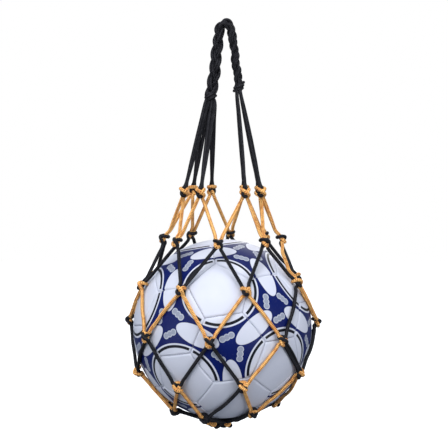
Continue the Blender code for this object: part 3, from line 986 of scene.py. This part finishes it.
def rubber_material(name, colour, rough):
    """Rubber with a pale, uneven bloom on it."""
    n = Nodes(name)
    where = n.object_place()
    bloom = n.noise(300.0, 3.0, where)
    pale = tuple(c * 1.9 + 0.01 for c in colour)
    n.bump(n.noise(1500.0, 2.0, where), 0.2, 0.2 * MM)
    return n.set(Base_Color=n.mix(bloom, colour, pale),
                 Roughness=n.math("ADD", n.math("MULTIPLY", bloom, 0.2), rough))


for node, look in (("ball_bladder", rubber_material("bladder_rubber_bloom", (0.05, 0.05, 0.05), 0.6)),
                   ("ball_valve", rubber_material("valve_rubber_bloom", (0.025, 0.025, 0.027), 0.5))):
    target = frame["nodes"][node]
    target.data.materials.clear()
    target.data.materials.append(look)


STITCH_DEPTH = 1.55 * MM  # below the panels' faces
STITCH_ARCH = 0.25 * MM
STITCH_REACH = (0.75 * MM, 0.35 * MM)  # half of what it spans across the seam and along it
STITCH_THREAD = 0.24 * MM
STITCH_HOOPS = (-1, -0.5, 0, 0.5, 1)  # places along a stitch, as shares of its reach
THREAD_SIDES = 6


def seam_stitches():
    """Short turns of thread that cross each seam at the bottom of its groove."""
    n = Nodes("seam_thread")
    where = n.object_place()
    n.bump(n.noise(3000.0, 2.0, where), 0.3, 0.1 * MM)
    n.set(Base_Color=n.mix(n.noise(500.0, 2.0, where), (0.45, 0.45, 0.50), (0.70, 0.70, 0.74)), Roughness=0.6)
    points, faces, seams = [], [], {}
    for _, _, corners, _ in panel_outlines():
        for a, b in zip(corners, corners[1:] + corners[:1]):
            seams.setdefault(frozenset((tuple(a), tuple(b))), (unit(a), unit(b)))
    for a, b in seams.values():
        length = np.linalg.norm(b - a) * BALL_RADIUS
        count = int(length / STITCH)
        across = unit(np.cross(a, b))
        for k in range(count):
            middle = unit(a + (b - a) * ((k + 0.5) / count))
            along = unit(np.cross(across, middle))
            base = len(points)
            for turn in STITCH_HOOPS:
                height = BALL_RADIUS - STITCH_DEPTH + STITCH_ARCH * (1 - turn * turn)
                span = (across * STITCH_REACH[0] + along * STITCH_REACH[1]) * turn
                spot = BALL_CENTRE + middle * height + span
                thread = STITCH_THREAD * (1 - 0.1 * abs(turn))
                for angle in np.arange(THREAD_SIDES) * 2 * pi / THREAD_SIDES:
                    points.append(spot + (along * cos(angle) + middle * sin(angle)) * thread)
            hoops = base + np.arange(len(STITCH_HOOPS) * THREAD_SIDES).reshape(-1, THREAD_SIDES)
            for hoop, after in zip(hoops, hoops[1:]):
                for s in range(THREAD_SIDES):
                    t = (s + 1) % THREAD_SIDES
                    faces.append([int(i) for i in (hoop[s], hoop[t], after[t], after[s])])
            faces.append([int(i) for i in hoops[0][::-1]])
            faces.append([int(i) for i in hoops[-1]])
    mesh = bpy.data.meshes.new("seam_stitches")
    mesh.from_pydata([tuple(p) for p in points], [], faces)
    mesh.materials.append(n.material)
    mesh.validate()
    mesh.shade_smooth()
    made = bpy.data.objects.new("seam_stitches", mesh)
    bpy.context.scene.collection.objects.link(made)
    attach(made, "ball")


seam_stitches()

# ---------------------------------------------------------------- room

LIT = (0, 0, -0.3)  # the place that the lamps point at
SKY = (0.33, 0.37, 0.43)
SKY_BELOW = 0.55  # its light from below, beside that from above


def stage():
    """A pale floor, well below the part."""
    floor = bpy.data.meshes.new("floor")
    reach, level = 8.0, -1.1
    corners = [(x * reach, y * reach, level) for x, y in ((-1, -1), (1, -1), (1, 1), (-1, 1))]
    floor.from_pydata(corners, [], [(0, 1, 2, 3)])
    n = Nodes("floor_pale")
    n.set(Base_Color=(0.9, 0.9, 0.9), Roughness=0.9, Emission_Color=(1, 1, 1), Emission_Strength=1.0)
    floor.materials.append(n.material)
    made = bpy.data.objects.new("floor", floor)
    bpy.context.scene.collection.objects.link(made)
    made.visible_diffuse = False
    made.visible_glossy = False


def lamp(name, place, size, power):
    """A round soft lamp in metres and watts, pointed at the part."""
    light = bpy.data.lights.new(name, "AREA")
    light.shape = "DISK"
    light.size = size
    light.energy = power
    made = bpy.data.objects.new(name, light)
    made.location = place
    made.rotation_euler = (Vector(LIT) - Vector(place)).to_track_quat("-Z", "Y").to_euler()
    bpy.context.scene.collection.objects.link(made)


def world():
    """White behind the object, and a softer light all round it that is weaker from below."""
    made = bpy.data.worlds.new("studio")
    made.use_nodes = True
    tree = made.node_tree
    back = tree.nodes["Background"]
    heading = tree.nodes.new("ShaderNodeTexCoord")
    height = tree.nodes.new("ShaderNodeSeparateXYZ")
    tree.links.new(heading.outputs["Generated"], height.inputs[0])
    strength = tree.nodes.new("ShaderNodeMapRange")
    strength.interpolation_type = "SMOOTHSTEP"
    for socket, value in zip(("From Min", "From Max", "To Min", "To Max"), (-0.5, 0.4, SKY_BELOW, 1.0)):
        strength.inputs[socket].default_value = value
    tree.links.new(height.outputs["Z"], strength.inputs["Value"])
    back.inputs["Color"].default_value = (*SKY, 1)
    tree.links.new(strength.outputs[0], back.inputs["Strength"])
    front = tree.nodes.new("ShaderNodeBackground")
    front.inputs["Color"].default_value = (1, 1, 1, 1)
    front.inputs["Strength"].default_value = 1.0
    rays = tree.nodes.new("ShaderNodeLightPath")
    mix = tree.nodes.new("ShaderNodeMixShader")
    tree.links.new(rays.outputs["Is Camera Ray"], mix.inputs[0])
    tree.links.new(back.outputs[0], mix.inputs[1])
    tree.links.new(front.outputs[0], mix.inputs[2])
    tree.links.new(mix.outputs[0], tree.nodes["World Output"].inputs["Surface"])
    bpy.context.scene.world = made


stage()
world()
lamp("key", (-0.6, -1.6, 0.9), 1.5, 29)
lamp("top", (0.1, -0.3, 1.3), 1.2, 15)
lamp("fill", (1.4, -1.2, -0.3), 1.2, 14)
lamp("left", (-1.5, -0.9, -0.4), 1.2, 7)
lamp("back", (0.5, 1.5, 0.5), 1.5, 16)

camera = bpy.data.cameras.new("camera")
camera.lens = 99.3
camera.sensor_width = 36
eye = bpy.data.objects.new("camera", camera)
eye.location = (-0.0019, -1.5, -0.1293)
eye.rotation_euler = (radians(90 - 4.05), 0, 0)
bpy.context.scene.collection.objects.link(eye)
bpy.context.scene.camera = eye
bpy.context.scene.view_settings.view_transform = "Standard"
